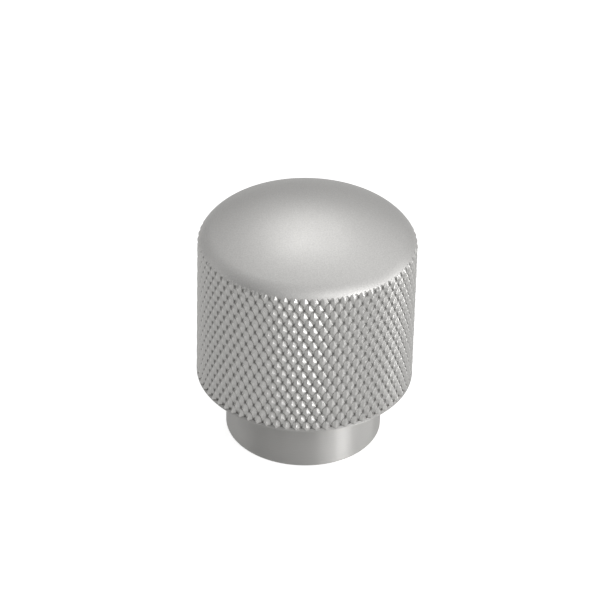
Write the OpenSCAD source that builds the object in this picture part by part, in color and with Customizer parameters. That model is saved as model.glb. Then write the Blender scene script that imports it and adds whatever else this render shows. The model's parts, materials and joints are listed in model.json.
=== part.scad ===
// Knurled cabinet knob, turned from one bar: a domed head with a diamond knurl round its side,
// on a plain neck whose flat end sits on the door and takes the fixing screw.
// The origin is the middle of that flat end, and +Z points out of the door.

/* [Head] */
// Diameter over the points of the knurl
head_d = 30; // [26:0.5:40]
// Length of the knurled side, from the underside of the head to the rim of the dome
side_h = 21; // [12:0.5:30]
// Height of the dome above the rim
dome_h = 5.5; // [4.5:0.1:8]
// Radius of the round shoulder that joins the crown of the dome to the rim
shoulder_r = 4.5; // [2:0.1:6]
// Angle that the dome makes with the knurled side where they meet
rim_angle = 25; // [15:1:35]

/* [Knurl] */
// Distance between neighbouring grooves, measured square to them
knurl_pitch = 1.2; // [1:0.1:2]
// Angle of the grooves to the axis of the knob
groove_angle = 30; // [25:1:40]
// Depth of the grooves where they cross
groove_depth = 0.35; // [0.15:0.05:0.5]
// Height of the first row of points above the underside of the head
first_row_h = 1; // [0:0.1:1.2]

/* [Neck] */
// Diameter of the neck
neck_d = 21.6; // [14:0.2:24]
// Height of the neck, from the door to the underside of the head
neck_h = 9; // [5:0.5:20]
// Radius that breaks the edge of the neck at the door
neck_edge_r = 0.4; // [0.1:0.1:1]

/* [Fixing hole] */
// Drill size of the tapped hole, 3.3 for an M4 screw
tap_drill_d = 3.3; // [2.5:0.1:5]
// Depth of the full width of the hole
tap_depth = 12; // [8:0.5:20]
// Point angle of the drill that leaves the cone at the end of the hole
drill_point_angle = 118; // [90:2:140]
// Width of the countersink at the mouth of the hole
countersink_d = 4.6; // [4.6:0.1:7]

/* [Hidden] */
$fn = 96;
// Small overshoot that keeps cutting faces off the faces they cut
over = 1;

head_r = head_d / 2;
neck_r = neck_d / 2;
rim_z = neck_h + side_h;
top_z = rim_z + dome_h;

// The shoulder arc passes through the rim, and the crown arc touches it from outside.
shoulder_x = head_r - shoulder_r * cos(rim_angle);
shoulder_z = rim_z - shoulder_r * sin(rim_angle);
crown_rise = top_z - shoulder_z;
crown_r = (shoulder_x ^ 2 + crown_rise ^ 2 - shoulder_r ^ 2) / (2 * (crown_rise - shoulder_r));
crown_z = top_z - crown_r;
// Where the two arcs touch
touch_x = crown_r * shoulder_x / (crown_r - shoulder_r);

// Diamonds that fit round the head, and the height from one row of points to the next
diamonds = round(PI * head_d * cos(groove_angle) / knurl_pitch);
row_h = PI * head_d / diamonds / tan(groove_angle) / 2;
rows_below = ceil((first_row_h + over) / row_h);
rows_above = ceil((side_h - first_row_h + over) / row_h);

// Half section of the head before it is knurled, a little wider than the knurl.
module head_section() {
  translate([0, neck_h]) square([head_r + over, side_h]);
  intersection() {
    translate([0, crown_z]) circle(crown_r);
    translate([0, neck_h]) square([touch_x, side_h + dome_h]);
  }
  intersection() {
    translate([shoulder_x, shoulder_z]) circle(shoulder_r);
    translate([touch_x, rim_z]) square([head_r + over - touch_x, dome_h]);
  }
}

// One corner of the knurl: points and crossings take turns round each row and from row to row.
function knurl_corner(row, step) =
  let (r = (row + step) % 2 == 0 ? head_r : head_r - groove_depth,
       a = 180 * step / diamonds)
  [r * cos(a), r * sin(a), neck_h + first_row_h + row * row_h];

// Solid with the diamond knurl on its side, long enough to hold the whole head.
module knurled_bar() {
  around = 2 * diamonds;
  first = -2 * ceil(rows_below / 2);
  rows = [for (row = [first : rows_above]) row];
  corners = concat(
    [for (row = rows) for (step = [0 : around - 1]) knurl_corner(row, step)],
    [for (step = [0 : around - 1])
       let (p = knurl_corner(rows_above, step)) [p.x, p.y, top_z + over]]);
  last = len(rows);
  faces = concat(
    [[for (step = [0 : around - 1]) step]],
    [for (i = [0 : last - 2]) for (step = [0 : around - 1])
       let (a = i * around + step,
            b = i * around + (step + 1) % around,
            c = b + around,
            d = a + around)
       each (i + step) % 2 == 0 ? [[a, d, b], [b, d, c]] : [[a, d, c], [a, c, b]]],
    [for (step = [0 : around - 1])
       let (a = (last - 1) * around + step,
            b = (last - 1) * around + (step + 1) % around)
       [a, a + around, b + around, b]],
    [[for (step = [around - 1 : -1 : 0]) last * around + step]]);
  polyhedron(corners, faces, convexity = 4);
}

module neck() {
  rotate_extrude()
    difference() {
      square([neck_r, neck_h + over]);
      translate([neck_r - neck_edge_r, 0])
        difference() {
          square(neck_edge_r);
          translate([0, neck_edge_r]) circle(neck_edge_r);
        }
    }
}

module fixing_hole() {
  mouth = (countersink_d - tap_drill_d) / 2;
  tip = tap_drill_d / 2 / tan(drill_point_angle / 2);
  translate([0, 0, -over]) cylinder(h = over + tap_depth, d = tap_drill_d);
  translate([0, 0, tap_depth]) cylinder(h = tip, d1 = tap_drill_d, d2 = 0);
  cylinder(h = mouth, d1 = countersink_d, d2 = tap_drill_d);
}

module knob() {
  color([0.78, 0.77, 0.75])
    difference() {
      union() {
        intersection() {
          rotate_extrude() head_section();
          knurled_bar();
        }
        neck();
      }
      fixing_hole();
    }
}

knob();
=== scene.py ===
# %% [markdown]
# # A knurled cabinet knob
# This lesson dresses one turned piece: a stainless steel knob for a cupboard door. The shape is
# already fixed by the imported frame, so Blender only gives it its true surface: the soft-edged
# diamonds of the knurl, the satin dome, the brushed neck and the thread in the fixing hole.

# %% Load the frame
import json
import math

import bpy
from mathutils import Matrix, Vector


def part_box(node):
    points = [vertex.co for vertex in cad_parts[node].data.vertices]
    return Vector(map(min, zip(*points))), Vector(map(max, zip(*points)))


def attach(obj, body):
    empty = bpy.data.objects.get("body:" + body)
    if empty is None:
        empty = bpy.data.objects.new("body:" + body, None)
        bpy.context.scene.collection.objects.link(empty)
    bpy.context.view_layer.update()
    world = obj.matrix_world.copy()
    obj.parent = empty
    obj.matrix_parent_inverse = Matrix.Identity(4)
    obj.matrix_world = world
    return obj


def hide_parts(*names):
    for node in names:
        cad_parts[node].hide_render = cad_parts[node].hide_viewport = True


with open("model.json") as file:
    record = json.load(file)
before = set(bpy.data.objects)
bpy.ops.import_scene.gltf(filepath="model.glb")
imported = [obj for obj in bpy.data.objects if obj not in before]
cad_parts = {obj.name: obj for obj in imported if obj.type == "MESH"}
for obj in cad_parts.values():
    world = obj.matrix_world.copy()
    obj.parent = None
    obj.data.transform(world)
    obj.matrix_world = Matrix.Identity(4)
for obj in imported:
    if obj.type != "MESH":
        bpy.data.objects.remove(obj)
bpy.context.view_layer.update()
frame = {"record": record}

# %% [markdown]
# The frame gives the width over the knurl, the full height and the size of the tapped hole. The
# other sizes are those of the turned blank, in millimetres like a workshop drawing.

# %% Sizes of the turned blank
MM = 0.001
MERGE_GAP = 0.0005 * MM  # points closer than this are one point
knob_low, knob_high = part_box("knob")
head_r = (knob_high[0] - knob_low[0]) / 2
top_z = knob_high[2]
fixing = next(m for m in frame["record"]["mounts"] if m["name"] == "fixing_hole")
bore_r = fixing["dims"]["r_mm"] * MM
neck_r = 10.8 * MM
neck_h = 9 * MM
neck_edge_r = 0.4 * MM
rim_z = 30 * MM
shoulder_r = 4.5 * MM
rim_angle = math.radians(25)
countersink_r = 2.3 * MM
bore_end_z = 12 * MM
drill_half_angle = math.radians(118 / 2)
drill_tip_h = bore_r / math.tan(drill_half_angle)
print("head radius", round(head_r / MM, 3), "mm, height", round(top_z / MM, 3), "mm")

# %% [markdown]
# The dome is two arcs that flow into each other, as a lathe hand would grind the form tool: a
# small shoulder arc that starts at the rim, and a large crown arc centred on the knob's axis. The
# crown's radius follows from the height that is left.

# %% Arcs of the dome
shoulder_x = head_r - shoulder_r * math.cos(rim_angle)
shoulder_z = rim_z - shoulder_r * math.sin(rim_angle)
rise = top_z - shoulder_z
crown_r = (shoulder_x**2 + rise**2 - shoulder_r**2) / (2 * (rise - shoulder_r))
crown_z = top_z - crown_r
touch_angle = math.atan2(shoulder_z - crown_z, shoulder_x)
print("crown radius", round(crown_r / MM, 2), "mm, arcs touch at",
      round(math.degrees(touch_angle), 1), "degrees")

# %% [markdown]
# A lathe part is easiest to make as one line spun round its axis. The line is drawn like a pen
# stroke: a single vertex is extruded from corner to corner, and each arc is that vertex spun round
# the arc's own centre. Nothing is stacked or fused, so no seam can show.

# %% Pen for lathe outlines
def deselect_everything():
    if bpy.context.mode != "OBJECT":
        bpy.ops.object.mode_set(mode="OBJECT")
    bpy.ops.object.select_all(action="DESELECT")


def start_line(name, x, z):
    deselect_everything()
    bpy.ops.mesh.primitive_plane_add(size=MM, location=(x, 0, z))
    line = bpy.context.object
    line.name = line.data.name = name
    bpy.ops.object.mode_set(mode="EDIT")
    bpy.ops.mesh.merge(type="CENTER")
    line["pen"] = (x, z)
    return line


def line_to(line, x, z):
    old_x, old_z = line["pen"]
    bpy.ops.mesh.extrude_region_move(TRANSFORM_OT_translate={"value": (x - old_x, 0, z - old_z)})
    line["pen"] = (x, z)


def arc_to(line, centre_x, centre_z, turn, steps):
    """Spins the pen round a centre by an angle that is positive from +X towards +Z."""
    old_x, old_z = line["pen"]
    bpy.ops.mesh.spin(steps=steps, angle=turn, center=(centre_x, 0, centre_z), axis=(0, 1, 0))
    across, up = old_x - centre_x, old_z - centre_z
    line["pen"] = (centre_x + across * math.cos(turn) - up * math.sin(turn),
                   centre_z + across * math.sin(turn) + up * math.cos(turn))


def spin_line(line, steps):
    bpy.ops.mesh.select_all(action="SELECT")
    bpy.ops.mesh.spin(steps=steps, angle=2 * math.pi, center=(0, 0, 0), axis=(0, 0, 1))
    bpy.ops.mesh.select_all(action="SELECT")
    bpy.ops.mesh.remove_doubles(threshold=MERGE_GAP)
    bpy.ops.mesh.normals_make_consistent(inside=False)
    bpy.ops.object.mode_set(mode="OBJECT")
    bpy.ops.object.transform_apply(location=True, rotation=True, scale=True)


# %% Turn the blank
over = 0.6 * MM  # how far cutting faces overshoot what they cut
DIAMONDS = 68
TURN_STEPS = 4 * DIAMONDS
NECK_EDGE_STEPS, SHOULDER_STEPS, CROWN_STEPS = 6, 14, 24

blank = start_line("turned_knob", 0, bore_end_z + drill_tip_h)
line_to(blank, bore_r, bore_end_z)
line_to(blank, bore_r, countersink_r - bore_r)
line_to(blank, countersink_r, 0)
line_to(blank, neck_r - neck_edge_r, 0)
arc_to(blank, neck_r - neck_edge_r, neck_edge_r, math.pi / 2, NECK_EDGE_STEPS)
for share in (0.25, 0.5, 0.75, 1):
    line_to(blank, neck_r, neck_edge_r + (neck_h - neck_edge_r) * share)
line_to(blank, head_r + over, neck_h)
line_to(blank, head_r + over, rim_z)
line_to(blank, head_r, rim_z)
arc_to(blank, shoulder_x, shoulder_z, touch_angle - rim_angle, SHOULDER_STEPS)
arc_to(blank, 0, crown_z, math.pi / 2 - touch_angle, CROWN_STEPS)
spin_line(blank, TURN_STEPS)
print("blank:", len(blank.data.vertices), "vertices, size mm",
      [round(v / MM, 3) for v in blank.dimensions])

# %% [markdown]
# A knurling wheel rolls a lattice of little pyramids into the bar. They could be cut one groove at
# a time, but every diamond is the same, so one is modelled and copied: a four-sided face between
# four groove crossings, inset five times while it rises. Two small steps turn up from the floor of
# the groove, a long one is the straight flank, and two more round the edge of the flat tip.

# %% Sizes of the knurl
groove_angle = math.radians(30)
half_w = math.pi * head_r / DIAMONDS
row_h = half_w / math.tan(groove_angle)
first_row_z = neck_h + 0.47 * MM
groove_depth = 0.35 * MM
root_r = head_r - groove_depth
TOOTH_STEPS_MM = (  # how far in, and how far up
    (0.05, 0.006), (0.05, 0.02), (0.31, 0.275), (0.05, 0.02), (0.05, 0.006))
pitch = 2 * half_w * math.cos(groove_angle)
print("groove pitch", round(pitch / MM, 3), "mm, row height", round(row_h / MM, 3), "mm")

# %% One diamond
def pick_points(obj, test):
    """Selects only the vertices whose place passes the test, in edit mode."""
    bpy.ops.mesh.select_mode(type="VERT")
    bpy.ops.mesh.select_all(action="DESELECT")
    bpy.ops.object.mode_set(mode="OBJECT")
    for point in obj.data.vertices:
        point.select = test(point.co)
    bpy.ops.object.mode_set(mode="EDIT")


half_turn = math.pi / DIAMONDS
corner_y = root_r * math.sin(half_turn)
corner_x = root_r * math.cos(half_turn)

deselect_everything()
bpy.ops.mesh.primitive_circle_add(vertices=4, radius=corner_y, fill_type="NGON",
                                  location=(0, 0, 0), rotation=(0, math.pi / 2, 0))
roll = bpy.context.object
roll.name = roll.data.name = "knurl_roll"
bpy.ops.object.transform_apply(location=False, rotation=True, scale=False)
bpy.ops.object.mode_set(mode="EDIT")
bpy.ops.transform.resize(value=(1, 1, row_h / corner_y), center_override=(0, 0, 0))
bpy.ops.transform.translate(value=(corner_x, 0, first_row_z))
pick_points(roll, lambda co: abs(co.y) < corner_y / 2)
bpy.ops.transform.translate(value=(root_r - corner_x, 0, 0))
bpy.ops.mesh.select_mode(type="FACE")
bpy.ops.mesh.select_all(action="SELECT")
for across, up in TOOTH_STEPS_MM:
    bpy.ops.mesh.inset(thickness=across * MM, depth=up * MM)
bpy.ops.object.mode_set(mode="OBJECT")
print("one diamond:", len(roll.data.polygons), "faces")

# %% [markdown]
# The copies go up the bar first and then round it. Two columns half a step apart interlock, and
# spinning the pair with its faces kept as copies fills the circle. Merging the shared corners
# turns 1600 loose diamonds into one skin. No subdivision follows, because it would soften the
# flanks, and their flat sides are what makes a new knurl glitter.

# %% Diamonds up and round the bar
ROWS_BELOW = 1  # spare rows that the blank cuts off
ROWS = 12
SKIN_MERGE_GAP = 0.001 * MM

bpy.ops.object.mode_set(mode="EDIT")
bpy.ops.mesh.select_all(action="SELECT")
bpy.ops.transform.translate(value=(0, 0, -ROWS_BELOW * 2 * row_h))
bpy.ops.object.mode_set(mode="OBJECT")
stack = roll.modifiers.new("stack", "ARRAY")
stack.count = ROWS
stack.use_relative_offset = False
stack.use_constant_offset = True
stack.constant_offset_displace = (0, 0, 2 * row_h)
bpy.ops.object.modifier_apply(modifier="stack")

bpy.ops.object.mode_set(mode="EDIT")
bpy.ops.mesh.select_all(action="SELECT")
bpy.ops.mesh.duplicate()
bpy.ops.transform.translate(value=(0, 0, row_h))
bpy.ops.transform.rotate(value=half_turn, orient_axis="Z", center_override=(0, 0, 0))
bpy.ops.mesh.select_all(action="SELECT")
bpy.ops.mesh.spin(steps=DIAMONDS - 1, angle=2 * math.pi * (1 - 1 / DIAMONDS), dupli=True,
                  center=(0, 0, 0), axis=(0, 0, 1))
bpy.ops.mesh.select_all(action="SELECT")
bpy.ops.mesh.remove_doubles(threshold=SKIN_MERGE_GAP)
bpy.ops.object.mode_set(mode="OBJECT")
widest = max(math.hypot(v.co.x, v.co.y) for v in roll.data.vertices)
print("knurl skin:", len(roll.data.polygons), "faces, widest radius", round(widest / MM, 3), "mm")

# %% [markdown]
# The skin must be a closed bar before the blank can be cut with it. The points are dressed to the
# full width, and the two zigzag rims of the skin are drawn out past the blank, flattened and
# filled.

# %% Close the bar
def close_end(bar, upper, end_z):
    bpy.ops.mesh.select_mode(type="VERT")
    bpy.ops.mesh.select_all(action="DESELECT")
    bpy.ops.mesh.select_non_manifold(extend=False)
    bpy.ops.object.mode_set(mode="OBJECT")
    rim = [v.index for v in bar.data.vertices if v.select and (v.co.z > rim_z / 2) == upper]
    for kind in (bar.data.vertices, bar.data.edges, bar.data.polygons):
        kind.foreach_set("select", [False] * len(kind))
    for index in rim:
        bar.data.vertices[index].select = True
    bpy.ops.object.mode_set(mode="EDIT")
    bpy.ops.mesh.extrude_region_move()
    bpy.ops.transform.resize(value=(1, 1, 0), center_override=(0, 0, end_z))
    bpy.ops.mesh.edge_face_add()


bpy.ops.object.mode_set(mode="EDIT")
bpy.ops.mesh.select_all(action="SELECT")
bpy.ops.transform.resize(value=(head_r / widest, head_r / widest, 1), center_override=(0, 0, 0))
close_end(roll, False, -over)
close_end(roll, True, top_z + over)
bpy.ops.mesh.select_all(action="SELECT")
bpy.ops.mesh.normals_make_consistent(inside=False)
bpy.ops.object.mode_set(mode="OBJECT")
print("closed bar:", len(roll.data.polygons), "faces")

# %% [markdown]
# Every surface keeps the mark of its last tool: the dome is bead blasted, the neck and the two
# flat faces are turned, the side is rolled and the hole is drilled and tapped. Each gets its own
# material slot now, because the cuts that follow carry the slots along and so keep the borders.

# %% Slots for the four finishes
DOME, NECK, KNURL, BORE = range(4)
FINISH_NAMES = ("bead_blasted_stainless", "turned_stainless",
                "rolled_stainless_knurl", "tapped_stainless_bore")
finishes = [bpy.data.materials.new(name) for name in FINISH_NAMES]


def give_finishes(obj, slot_of):
    for material in finishes:
        obj.data.materials.append(material)
    for face in obj.data.polygons:
        face.material_index = slot_of(face.center)


def blank_slot(middle):
    if middle.z > rim_z:
        return DOME
    in_hole = math.hypot(middle.x, middle.y) < countersink_r
    return BORE if in_hole else NECK


give_finishes(blank, blank_slot)
give_finishes(roll, lambda middle: KNURL)

# %% [markdown]
# The blank is now cut with the knurled bar, keeping what lies inside both. That is what happens on
# the lathe in reverse order: the rolled diamonds run out into the dome, and leave the saw-toothed
# rim that makes this knob. Drawing those teeth by hand would never follow the curve as well.

# %% Cut the blank with the bar
def cut(obj, tool, operation):
    modifier = obj.modifiers.new("cut", "BOOLEAN")
    modifier.operation = operation
    modifier.object = tool
    modifier.solver = "MANIFOLD"
    bpy.ops.object.select_all(action="DESELECT")
    bpy.context.view_layer.objects.active = obj
    obj.select_set(True)
    bpy.ops.object.modifier_apply(modifier="cut")
    bpy.data.objects.remove(tool)
    print(f"{operation.lower()}: {len(obj.data.polygons)} faces left")


cut(blank, roll, "INTERSECT")

# %% [markdown]
# The knurling wheel stops a hair above the lower edge, so the grooves run out into a thin turned
# lip that keeps the edge round and kind to the fingers. It is turned as a small ring of its own
# and fused to the head, because a cut can only take steel away from the rolled grooves.

# %% Lip under the knurl
LIP_H = 0.16 * MM
LIP_CHAMFER = 0.05 * MM
lip_r = head_r - 0.02 * MM
lip_in_r = root_r - 0.5 * MM

lip = start_line("knurl_lip", lip_in_r, neck_h)
line_to(lip, lip_r - LIP_CHAMFER, neck_h)
line_to(lip, lip_r, neck_h + LIP_CHAMFER)
line_to(lip, lip_r, neck_h + LIP_H)
line_to(lip, lip_in_r, neck_h + LIP_H + (lip_r - lip_in_r) / 2)
line_to(lip, lip_in_r, neck_h)
spin_line(lip, TURN_STEPS)
give_finishes(lip, lambda middle: NECK)
cut(blank, lip, "UNION")

# %% [markdown]
# The hole takes an M4 machine screw, so its wall carries a 0.7 mm thread. The groove's section, a
# flat-tipped 60 degree wedge, is drawn once and wound up the hole by the Screw modifier; the wound
# wedge is then cut away. It stops where the tap stops, short of the drill's cone.

# %% Tap the hole
THREAD_PITCH = 0.7 * MM
THREAD_TURNS = 16
STEPS_PER_TURN = 32
thread_r = 2 * MM
wedge_in_r = 1.5 * MM
wedge_half_angle = math.radians(60 / 2)
wedge_tip = THREAD_PITCH / 16  # half the width of a metric groove's flat floor
wedge_foot = wedge_tip + (thread_r - wedge_in_r) * math.tan(wedge_half_angle)

thread = start_line("thread_cutter", wedge_in_r, -wedge_foot)
line_to(thread, thread_r, -wedge_tip)
line_to(thread, thread_r, wedge_tip)
line_to(thread, wedge_in_r, wedge_foot)
bpy.ops.mesh.select_all(action="SELECT")
bpy.ops.mesh.edge_face_add()
bpy.ops.mesh.delete(type="ONLY_FACE")
bpy.ops.object.mode_set(mode="OBJECT")
bpy.ops.object.transform_apply(location=True, rotation=True, scale=True)
winding = thread.modifiers.new("winding", "SCREW")
winding.screw_offset = THREAD_PITCH
winding.iterations = THREAD_TURNS
winding.steps = winding.render_steps = STEPS_PER_TURN
bpy.ops.object.modifier_apply(modifier="winding")
bpy.ops.object.mode_set(mode="EDIT")
bpy.ops.mesh.select_all(action="SELECT")
bpy.ops.mesh.fill_holes(sides=4)
bpy.ops.mesh.normals_make_consistent(inside=False)
bpy.ops.object.mode_set(mode="OBJECT")
give_finishes(thread, lambda middle: BORE)
cut(blank, thread, "DIFFERENCE")

# %% [markdown]
# The surface is smooth along the flanks but must break crisply where two finishes meet, such as
# the rim, where the dome slices through the diamonds. Those borders are marked sharp slot by slot,
# and everything else is smoothed by angle.

# %% Clean up and shade
SMOOTH_ANGLE = math.radians(20)

deselect_everything()
knob = blank
bpy.context.view_layer.objects.active = knob
knob.select_set(True)
bpy.ops.object.mode_set(mode="EDIT")
bpy.ops.mesh.select_all(action="SELECT")
bpy.ops.mesh.remove_doubles(threshold=MERGE_GAP)
bpy.ops.mesh.select_mode(type="FACE")
for slot in range(len(finishes)):
    bpy.ops.mesh.select_all(action="DESELECT")
    knob.active_material_index = slot
    bpy.ops.object.material_slot_select()
    bpy.ops.mesh.region_to_loop()
    bpy.ops.mesh.mark_sharp()
    bpy.ops.mesh.select_mode(type="FACE")
bpy.ops.object.mode_set(mode="OBJECT")
bpy.ops.object.shade_smooth_by_angle(angle=SMOOTH_ANGLE)
sharp_edges = sum(edge.use_edge_sharp for edge in knob.data.edges)
print("knob:", len(knob.data.polygons), "faces,", sharp_edges, "sharp edges")

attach(knob, "root")
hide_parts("knob")

# %% [markdown]
# All four finishes are one alloy, a plain chromium-nickel stainless steel, whose bare surface is a
# light, slightly warm grey. Only the tool marks differ, so the colour is written once and each
# finish changes roughness, grain and relief; the knurl also carries painted shade and a painted
# highlight. The patterns are laid out by real lengths in mm.

# %% Helpers for materials
def to_linear(hex_colour):
    """Turns an sRGB hex colour into the linear RGBA that the shader sockets take."""
    channels = [int(hex_colour[i:i + 2], 16) / 255 for i in (1, 3, 5)]
    return [c / 12.92 if c <= 0.04045 else ((c + 0.055) / 1.055) ** 2.4 for c in channels] + [1]


def add_node(tree, kind, inputs=None, **settings):
    """Adds one node, sets its properties, and fills or links its inputs by name or number."""
    node = tree.nodes.new(kind)
    for name, value in settings.items():
        setattr(node, name, value)
    for key, value in (inputs or {}).items():
        if isinstance(value, bpy.types.NodeSocket):
            tree.links.new(value, node.inputs[key])
        else:
            node.inputs[key].default_value = value
    return node


def start_material(material):
    """Clears the node tree and returns it with its shader and the Object coordinates."""
    material.use_nodes = True
    tree = material.node_tree
    tree.nodes.clear()
    shader = add_node(tree, "ShaderNodeBsdfPrincipled", {"Metallic": 1.0})
    add_node(tree, "ShaderNodeOutputMaterial", {"Surface": shader.outputs["BSDF"]})
    place = add_node(tree, "ShaderNodeTexCoord").outputs["Object"]
    return tree, shader, place


def wear_finish(tree, shader, tint, rough, relief):
    """Plugs a finish's colour, roughness and relief into its shader."""
    tree.links.new(tint.outputs[2], shader.inputs["Base Color"])
    tree.links.new(rough.outputs["Result"], shader.inputs["Roughness"])
    tree.links.new(relief.outputs["Normal"], shader.inputs["Normal"])


def per_mm(length_mm):
    """Scale of a Noise texture whose features are this long."""
    return 1 / (length_mm * MM)


print("mid grey in linear light:", round(to_linear("#808080")[0], 3))

# %% [markdown]
# Glass beads leave thousands of shallow overlapping dimples about a twentieth of a millimetre wide.
# They are too fine to see singly and give the dome its soft, even sheen. The grain is drawn at
# 0.16 mm so that it still shows, with broad faint clouds where the blast was a little uneven.

# %% Bead-blasted dome
BLASTED_DARK, BLASTED_PALE = "#C3C2C0", "#CFCECC"
BLASTED_ROUGHNESS = (0.39, 0.45)
BLAST_GRAIN_MM, BLAST_CLOUD_MM = 0.16, 7
DIMPLE_DEPTH = 0.01 * MM

tree, shader, place = start_material(finishes[DOME])
grain = add_node(tree, "ShaderNodeTexNoise", {
    "Vector": place, "Scale": per_mm(BLAST_GRAIN_MM), "Detail": 2.0})
clouds = add_node(tree, "ShaderNodeTexNoise", {
    "Vector": place, "Scale": per_mm(BLAST_CLOUD_MM), "Detail": 3.0})
tone = add_node(tree, "ShaderNodeMapRange", {
    "Value": grain.outputs["Fac"], "From Min": 0.35, "From Max": 0.65})
tint = add_node(tree, "ShaderNodeMix", {
    0: tone.outputs["Result"], 6: to_linear(BLASTED_DARK), 7: to_linear(BLASTED_PALE),
}, data_type="RGBA")
rough = add_node(tree, "ShaderNodeMapRange", {
    "Value": clouds.outputs["Fac"], "From Min": 0.3, "From Max": 0.7,
    "To Min": BLASTED_ROUGHNESS[0], "To Max": BLASTED_ROUGHNESS[1]})
dimples = add_node(tree, "ShaderNodeBump", {
    "Height": grain.outputs["Fac"], "Strength": 0.35, "Distance": DIMPLE_DEPTH})
wear_finish(tree, shader, tint, rough, dimples)
print("dome: grain", BLAST_GRAIN_MM, "mm, roughness", BLASTED_ROUGHNESS)

# %% [markdown]
# The knurl is pressed, not cut, and the rolls burnish its flanks. Its colour carries painted light:
# the grooves, and most of all the pits where two grooves cross, are painted dark as shade, and the
# tips are painted lighter as a highlight. The pits are also rougher. The paint follows two ramps:
# the distance from the knob's axis, and a wave that is highest on the tips and lowest in the pits.
# Noise breaks both up a little, so that no edge looks drawn.

# %% Distance from the axis
def axis_distance(tree, place):
    flat = add_node(tree, "ShaderNodeVectorMath", {0: place, 1: (1, 1, 0)}, operation="MULTIPLY")
    length = add_node(tree, "ShaderNodeVectorMath", {0: flat.outputs["Vector"]}, operation="LENGTH")
    return length.outputs["Value"]


# %% Wave over the diamonds
def diamond_wave(tree, place):
    """Runs from 1 on every tip through 0 along the grooves to -1 in every pit."""
    parts = add_node(tree, "ShaderNodeSeparateXYZ", {0: place})
    angle = add_node(tree, "ShaderNodeMath", {
        0: parts.outputs["Y"], 1: parts.outputs["X"]}, operation="ARCTAN2")
    round_phase = add_node(tree, "ShaderNodeMath", {
        0: angle.outputs["Value"], 1: float(DIAMONDS)}, operation="MULTIPLY")
    up_phase = add_node(tree, "ShaderNodeMath", {
        0: parts.outputs["Z"], 1: math.pi / row_h, 2: -math.pi * first_row_z / row_h,
    }, operation="MULTIPLY_ADD")
    round_wave, up_wave = (
        add_node(tree, "ShaderNodeMath", {0: phase.outputs["Value"]}, operation="COSINE")
        for phase in (round_phase, up_phase))
    both = add_node(tree, "ShaderNodeMath", {
        0: round_wave.outputs["Value"], 1: up_wave.outputs["Value"]}, operation="MULTIPLY")
    return both.outputs["Value"]


# %% Rolled knurl, with painted shade and a painted highlight
# The dark grey is painted shade for the grooves and pits; the lighter grey is a painted highlight
# on the tips.
STEEL, PAINTED_HIGHLIGHT, PAINTED_SHADE = "#C8C7C5", "#D6D5D3", "#666563"
GRIT_MM = 0.2
NICK_DEPTH = 0.01 * MM
GRIT_SHARE, WAVE_SHARE = 0.3, 0.5  # how much each one moves the ramp of height
PAINTED_SHADE_ENDS = (-0.3, 0.22)  # where on that ramp the painted shade is full, and where it is gone
PAINTED_HIGHLIGHT_STARTS = (1.1, 1.6)  # where on it the painted highlight begins, and where it is full
PIT_ROUGHNESS, FLANK_ROUGHNESS = 0.32, 0.18

tree, shader, place = start_material(finishes[KNURL])
height = add_node(tree, "ShaderNodeMapRange", {
    "Value": axis_distance(tree, place), "From Min": root_r, "From Max": head_r})
grit = add_node(tree, "ShaderNodeTexNoise", {
    "Vector": place, "Scale": per_mm(GRIT_MM), "Detail": 2.0})
ragged = add_node(tree, "ShaderNodeMath", {
    0: grit.outputs["Fac"], 1: GRIT_SHARE, 2: height.outputs["Result"]},
    operation="MULTIPLY_ADD")
ramp = add_node(tree, "ShaderNodeMath", {
    0: diamond_wave(tree, place), 1: WAVE_SHARE, 2: ragged.outputs["Value"]},
    operation="MULTIPLY_ADD")
# Painted light: one ramp paints the deep grooves and pits dark as shade, the other paints the tips
# light as a highlight.
unshaded, painted_highlight = (
    add_node(tree, "ShaderNodeMapRange", {
        "Value": ramp.outputs["Value"], "From Min": low, "From Max": high})
    for low, high in (PAINTED_SHADE_ENDS, PAINTED_HIGHLIGHT_STARTS))
# Painted shade: grooves and pits are mixed towards the dark grey.
flank = add_node(tree, "ShaderNodeMix", {
    0: unshaded.outputs["Result"], 6: to_linear(PAINTED_SHADE), 7: to_linear(STEEL)}, data_type="RGBA")
# Painted highlight: the tips are mixed towards the lighter grey.
tint = add_node(tree, "ShaderNodeMix", {
    0: painted_highlight.outputs["Result"], 6: flank.outputs[2], 7: to_linear(PAINTED_HIGHLIGHT),
}, data_type="RGBA")
rough = add_node(tree, "ShaderNodeMapRange", {
    "Value": unshaded.outputs["Result"], "To Min": PIT_ROUGHNESS, "To Max": FLANK_ROUGHNESS})
nicks = add_node(tree, "ShaderNodeBump", {
    "Height": grit.outputs["Fac"], "Strength": 0.3, "Distance": NICK_DEPTH})
wear_finish(tree, shader, tint, rough, nicks)
print("knurl: roughness", PIT_ROUGHNESS, "in the pits and", FLANK_ROUGHNESS, "on the flanks")

# %% [markdown]
# A turning tool leaves fine rings. They scatter light across themselves and hardly along, which
# draws every reflection on the neck into an upright streak. The shader's anisotropy gives that
# spread. The visible lines are noise over radius and height alone. A fine cut leaves rings about
# 0.05 mm apart, too fine to show, so they are drawn at 0.12 mm.

# %% Turned neck and faces
TURNED_DARK, TURNED_PALE = "#C0BFBD", "#D0CFCD"
TURNED_ROUGHNESS = (0.47, 0.53)
RING_MM, TURNED_CLOUD_MM = 0.12, 3
RING_DEPTH = 0.006 * MM

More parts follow.
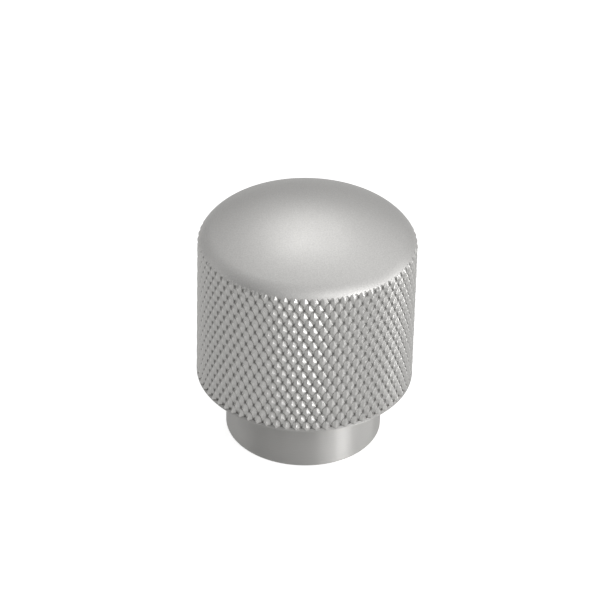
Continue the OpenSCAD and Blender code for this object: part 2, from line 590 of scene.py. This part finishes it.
tree, shader, place = start_material(finishes[NECK])
radius = axis_distance(tree, place)
parts = add_node(tree, "ShaderNodeSeparateXYZ", {0: place})
section = add_node(tree, "ShaderNodeCombineXYZ", {"X": radius, "Z": parts.outputs["Z"]})
rings = add_node(tree, "ShaderNodeTexNoise", {
    "Vector": section.outputs["Vector"], "Scale": per_mm(RING_MM), "Detail": 2.0})
clouds = add_node(tree, "ShaderNodeTexNoise", {
    "Vector": place, "Scale": per_mm(TURNED_CLOUD_MM), "Detail": 3.0})
tint = add_node(tree, "ShaderNodeMix", {
    0: rings.outputs["Fac"], 6: to_linear(TURNED_DARK), 7: to_linear(TURNED_PALE),
}, data_type="RGBA")
rough = add_node(tree, "ShaderNodeMapRange", {
    "Value": clouds.outputs["Fac"], "From Min": 0.3, "From Max": 0.7,
    "To Min": TURNED_ROUGHNESS[0], "To Max": TURNED_ROUGHNESS[1]})
ridges = add_node(tree, "ShaderNodeBump", {
    "Height": rings.outputs["Fac"], "Strength": 0.3, "Distance": RING_DEPTH})
wear_finish(tree, shader, tint, rough, ridges)

# The tangent runs round the axis, and a quarter turn lays the spread across the rings.
round_axis = add_node(tree, "ShaderNodeTangent", direction_type="RADIAL", axis="Z")
tree.links.new(round_axis.outputs["Tangent"], shader.inputs["Tangent"])
shader.inputs["Anisotropic"].default_value = 0.92
shader.inputs["Anisotropic Rotation"].default_value = 0.25
print("neck: rings", RING_MM, "mm, roughness", TURNED_ROUGHNESS)

# %% [markdown]
# Inside the hole the tap has torn the steel a little, and cutting oil has dulled it. The finish is
# darker and rougher than the outside, with a blotchy film.

# %% Tapped hole
OILY_DARK, OILY_PALE = "#8B8883", "#B9B6B1"
OILY_ROUGHNESS = (0.3, 0.5)
FILM_MM = 0.5
TEAR_DEPTH = 0.01 * MM

tree, shader, place = start_material(finishes[BORE])
film = add_node(tree, "ShaderNodeTexNoise", {
    "Vector": place, "Scale": per_mm(FILM_MM), "Detail": 4.0})
tint = add_node(tree, "ShaderNodeMix", {
    0: film.outputs["Fac"], 6: to_linear(OILY_DARK), 7: to_linear(OILY_PALE),
}, data_type="RGBA")
rough = add_node(tree, "ShaderNodeMapRange", {
    "Value": film.outputs["Fac"], "To Min": OILY_ROUGHNESS[0], "To Max": OILY_ROUGHNESS[1]})
tears = add_node(tree, "ShaderNodeBump", {
    "Height": film.outputs["Fac"], "Strength": 0.4, "Distance": TEAR_DEPTH})
wear_finish(tree, shader, tint, rough, tears)
print("hole: oily film in blotches of", FILM_MM, "mm")

# %% [markdown]
# The knob stands on its neck on a sheet of pale satin board. The camera looks down at it from
# about 34 degrees, nearly square on, through a long lens that keeps its upright sides parallel. The
# small turn about the knob's axis brings the rows of diamonds to where they are wanted.

# %% Camera
ELEVATION = math.radians(34.19)
ROLL = math.radians(1.393)
TURN = math.radians(-1.66)
DISTANCE = 503.3 * MM
AIM = Vector((-0.84, 0, 20.445)) * MM
LENS_MM, SENSOR_MM = 219.92, 36

across = Vector((1, 0, 0))
ahead = Vector((0, math.cos(ELEVATION), -math.sin(ELEVATION)))
above = across.cross(ahead)
sight = Matrix((across * math.cos(ROLL) + above * math.sin(ROLL),
                above * math.cos(ROLL) - across * math.sin(ROLL), -ahead)).transposed()
orbit = Matrix.Rotation(TURN, 3, "Z")
bpy.ops.object.camera_add(location=orbit @ (AIM - ahead * DISTANCE),
                          rotation=(orbit @ sight).to_euler())
camera = bpy.context.object
camera.data.lens = LENS_MM
camera.data.sensor_width = SENSOR_MM
camera.data.clip_start = 0.01
bpy.context.scene.camera = camera
print("camera at mm", [round(v / MM, 1) for v in camera.location])

# %% [markdown]
# The backdrop has to look white, yet stay too dim to wash out the steel. So it is lifted only where
# the camera looks at it. A quarter of that lift also goes to glossy and transmission rays, so that
# the metal still reflects a pale room, and the floor keeps the knob's shadow.

# %% How much of the white backdrop each ray sees
REFLECTED_SHARE = 0.25


def backdrop_share(tree):
    """Returns the camera ray's flag and the share of the white backdrop that the metal reflects."""
    ray = add_node(tree, "ShaderNodeLightPath")
    bounced = add_node(tree, "ShaderNodeMath", {
        0: ray.outputs["Is Glossy Ray"], 1: ray.outputs["Is Transmission Ray"]}, operation="ADD")
    reflected = add_node(tree, "ShaderNodeMath", {
        0: bounced.outputs["Value"], 1: REFLECTED_SHARE}, operation="MULTIPLY")
    return ray.outputs["Is Camera Ray"], reflected.outputs["Value"]


# %% Satin board floor
FLOOR_LIFT = 0.8
FLOOR_R = 3
BOARD_DARK, BOARD_PALE = "#CFCFCE", "#D1D1D0"
FIBRE_MM = 0.8

bpy.ops.mesh.primitive_circle_add(vertices=128, radius=FLOOR_R, fill_type="NGON",
                                  location=(0, 0, 0))
floor = bpy.context.object
floor.name = floor.data.name = "board_floor"
board = bpy.data.materials.new("satin_white_board")
board.use_nodes = True
tree = board.node_tree
tree.nodes.clear()
place = add_node(tree, "ShaderNodeTexCoord").outputs["Object"]
fibres = add_node(tree, "ShaderNodeTexNoise", {
    "Vector": place, "Scale": per_mm(FIBRE_MM), "Detail": 3.0})
tint = add_node(tree, "ShaderNodeMix", {
    0: fibres.outputs["Fac"], 6: to_linear(BOARD_DARK), 7: to_linear(BOARD_PALE),
}, data_type="RGBA")
satin = add_node(tree, "ShaderNodeBsdfPrincipled", {
    "Base Color": tint.outputs[2], "Roughness": 0.3})
camera_ray, reflected = backdrop_share(tree)
seen = add_node(tree, "ShaderNodeMath", {0: camera_ray, 1: reflected}, operation="ADD")
strength = add_node(tree, "ShaderNodeMath", {
    0: seen.outputs["Value"], 1: FLOOR_LIFT}, operation="MULTIPLY")
lift = add_node(tree, "ShaderNodeEmission", {"Strength": strength.outputs["Value"]})
both = add_node(tree, "ShaderNodeAddShader", {0: satin.outputs[0], 1: lift.outputs[0]})
add_node(tree, "ShaderNodeOutputMaterial", {"Surface": both.outputs[0]})
floor.data.materials.append(board)
print("floor:", 2 * FLOOR_R, "m wide, lifted by", FLOOR_LIFT, "for the camera")

# %% [markdown]
# Steel shows nothing but the room around it. This studio is a bright ceiling and pale walls on the
# right, in front and in both corners behind the table; only the left side stays dim. Each wall is
# a wide soft lobe of the world light: the cosine to the wall's direction, raised to a power so that
# it fades evenly.

# %% Direction on the studio floor
def towards(azimuth, elevation):
    """Unit vector out from the knob; the azimuth is counted from -Y, the camera's side, to +X."""
    a, e = math.radians(azimuth), math.radians(elevation)
    return Vector((math.sin(a) * math.cos(e), -math.cos(a) * math.cos(e), math.sin(e)))


# %% Room light
WALLS = {  # azimuth, elevation, level
    "ceiling": (0, 90, 0.48),
    "back_left_wall": (-135, 35, 0.34),
    "back_right_wall": (135, 35, 0.42),
    "right_wall": (90, 20, 0.4),
    "front_wall": (0, 20, 0.3),
}
LOBE_POWER = 3.0

world = bpy.data.worlds.new("studio")
bpy.context.scene.world = world
world.use_nodes = True
tree = world.node_tree
tree.nodes.clear()
camera_ray, room = backdrop_share(tree)
sky = add_node(tree, "ShaderNodeTexCoord").outputs["Generated"]
for wall, (azimuth, elevation, level) in WALLS.items():
    facing = add_node(tree, "ShaderNodeVectorMath", {
        0: sky, 1: towards(azimuth, elevation)}, operation="DOT_PRODUCT")
    front = add_node(tree, "ShaderNodeMath", {
        0: facing.outputs["Value"], 1: 0.0}, operation="MAXIMUM")
    lobe = add_node(tree, "ShaderNodeMath", {
        0: front.outputs["Value"], 1: LOBE_POWER}, operation="POWER")
    room = add_node(tree, "ShaderNodeMath", {
        0: lobe.outputs["Value"], 1: level, 2: room}, operation="MULTIPLY_ADD").outputs["Value"]
    print(wall, "level", level)
shown = add_node(tree, "ShaderNodeMix", {0: camera_ray, 2: room, 3: 1.0}, data_type="FLOAT")
backdrop = add_node(tree, "ShaderNodeBackground", {
    "Color": (1, 1, 1, 1), "Strength": shown.outputs[0]})
add_node(tree, "ShaderNodeOutputWorld", {"Surface": backdrop.outputs[0]})

# %% [markdown]
# The lamps are soft boxes given by their brightness against white, so a level of 1 would render as
# paper. A lamp's power in watts is that level times pi times its area. Low boxes round the front
# and the sides rake the knurl. The small bright one at the front right, and the one that lies flat
# over the board there, draw the upright streak on the neck. The box above and behind lights the
# crown of the dome.

# %% Soft boxes
def add_lamp(name, azimuth, tilt, reach, height, width, tall, level):
    """Adds a box light at a place round the knob; tilt is the angle that it leans over."""
    place = towards(azimuth, 0) * reach + Vector((0, 0, height))
    bpy.ops.object.light_add(type="AREA", location=place,
                             rotation=towards(azimuth, tilt).to_track_quat("Z", "Y").to_euler())
    lamp = bpy.context.object
    lamp.name = lamp.data.name = name
    lamp.data.shape = "RECTANGLE"
    lamp.data.size, lamp.data.size_y = width, tall
    lamp.data.energy = level * math.pi * width * tall
    lamp.visible_camera = False
    print(name, round(lamp.data.energy, 3), "W")


LAMPS = (  # azimuth, tilt, reach, height, width, tall, level
    ("front_box", 0, 40, 0.383, 0.341, 0.27, 0.27, 0.4),
    ("key_box", 35, 35, 0.410, 0.307, 0.27, 0.27, 1.0),
    ("low_front", 30, 0, 0.4, 0.042, 0.12, 0.08, 1.8),
    ("low_front_right", 55, 0, 0.4, 0.042, 0.16, 0.08, 6.0),
    ("low_right", 90, 0, 0.4, 0.082, 0.28, 0.16, 1.2),
    ("low_left", -95, 0, 0.4, 0.082, 0.28, 0.16, 0.3),
    ("top_back", 180, 60, 0.25, 0.453, 0.27, 0.27, 0.85),
    ("board_light", 52, 90, 0.2, 0.092, 0.12, 0.10, 3.0),
)
for lamp_row in LAMPS:
    add_lamp(*lamp_row)

# %% Finish
scene_view = bpy.context.scene.view_settings
scene_view.view_transform = "Standard"
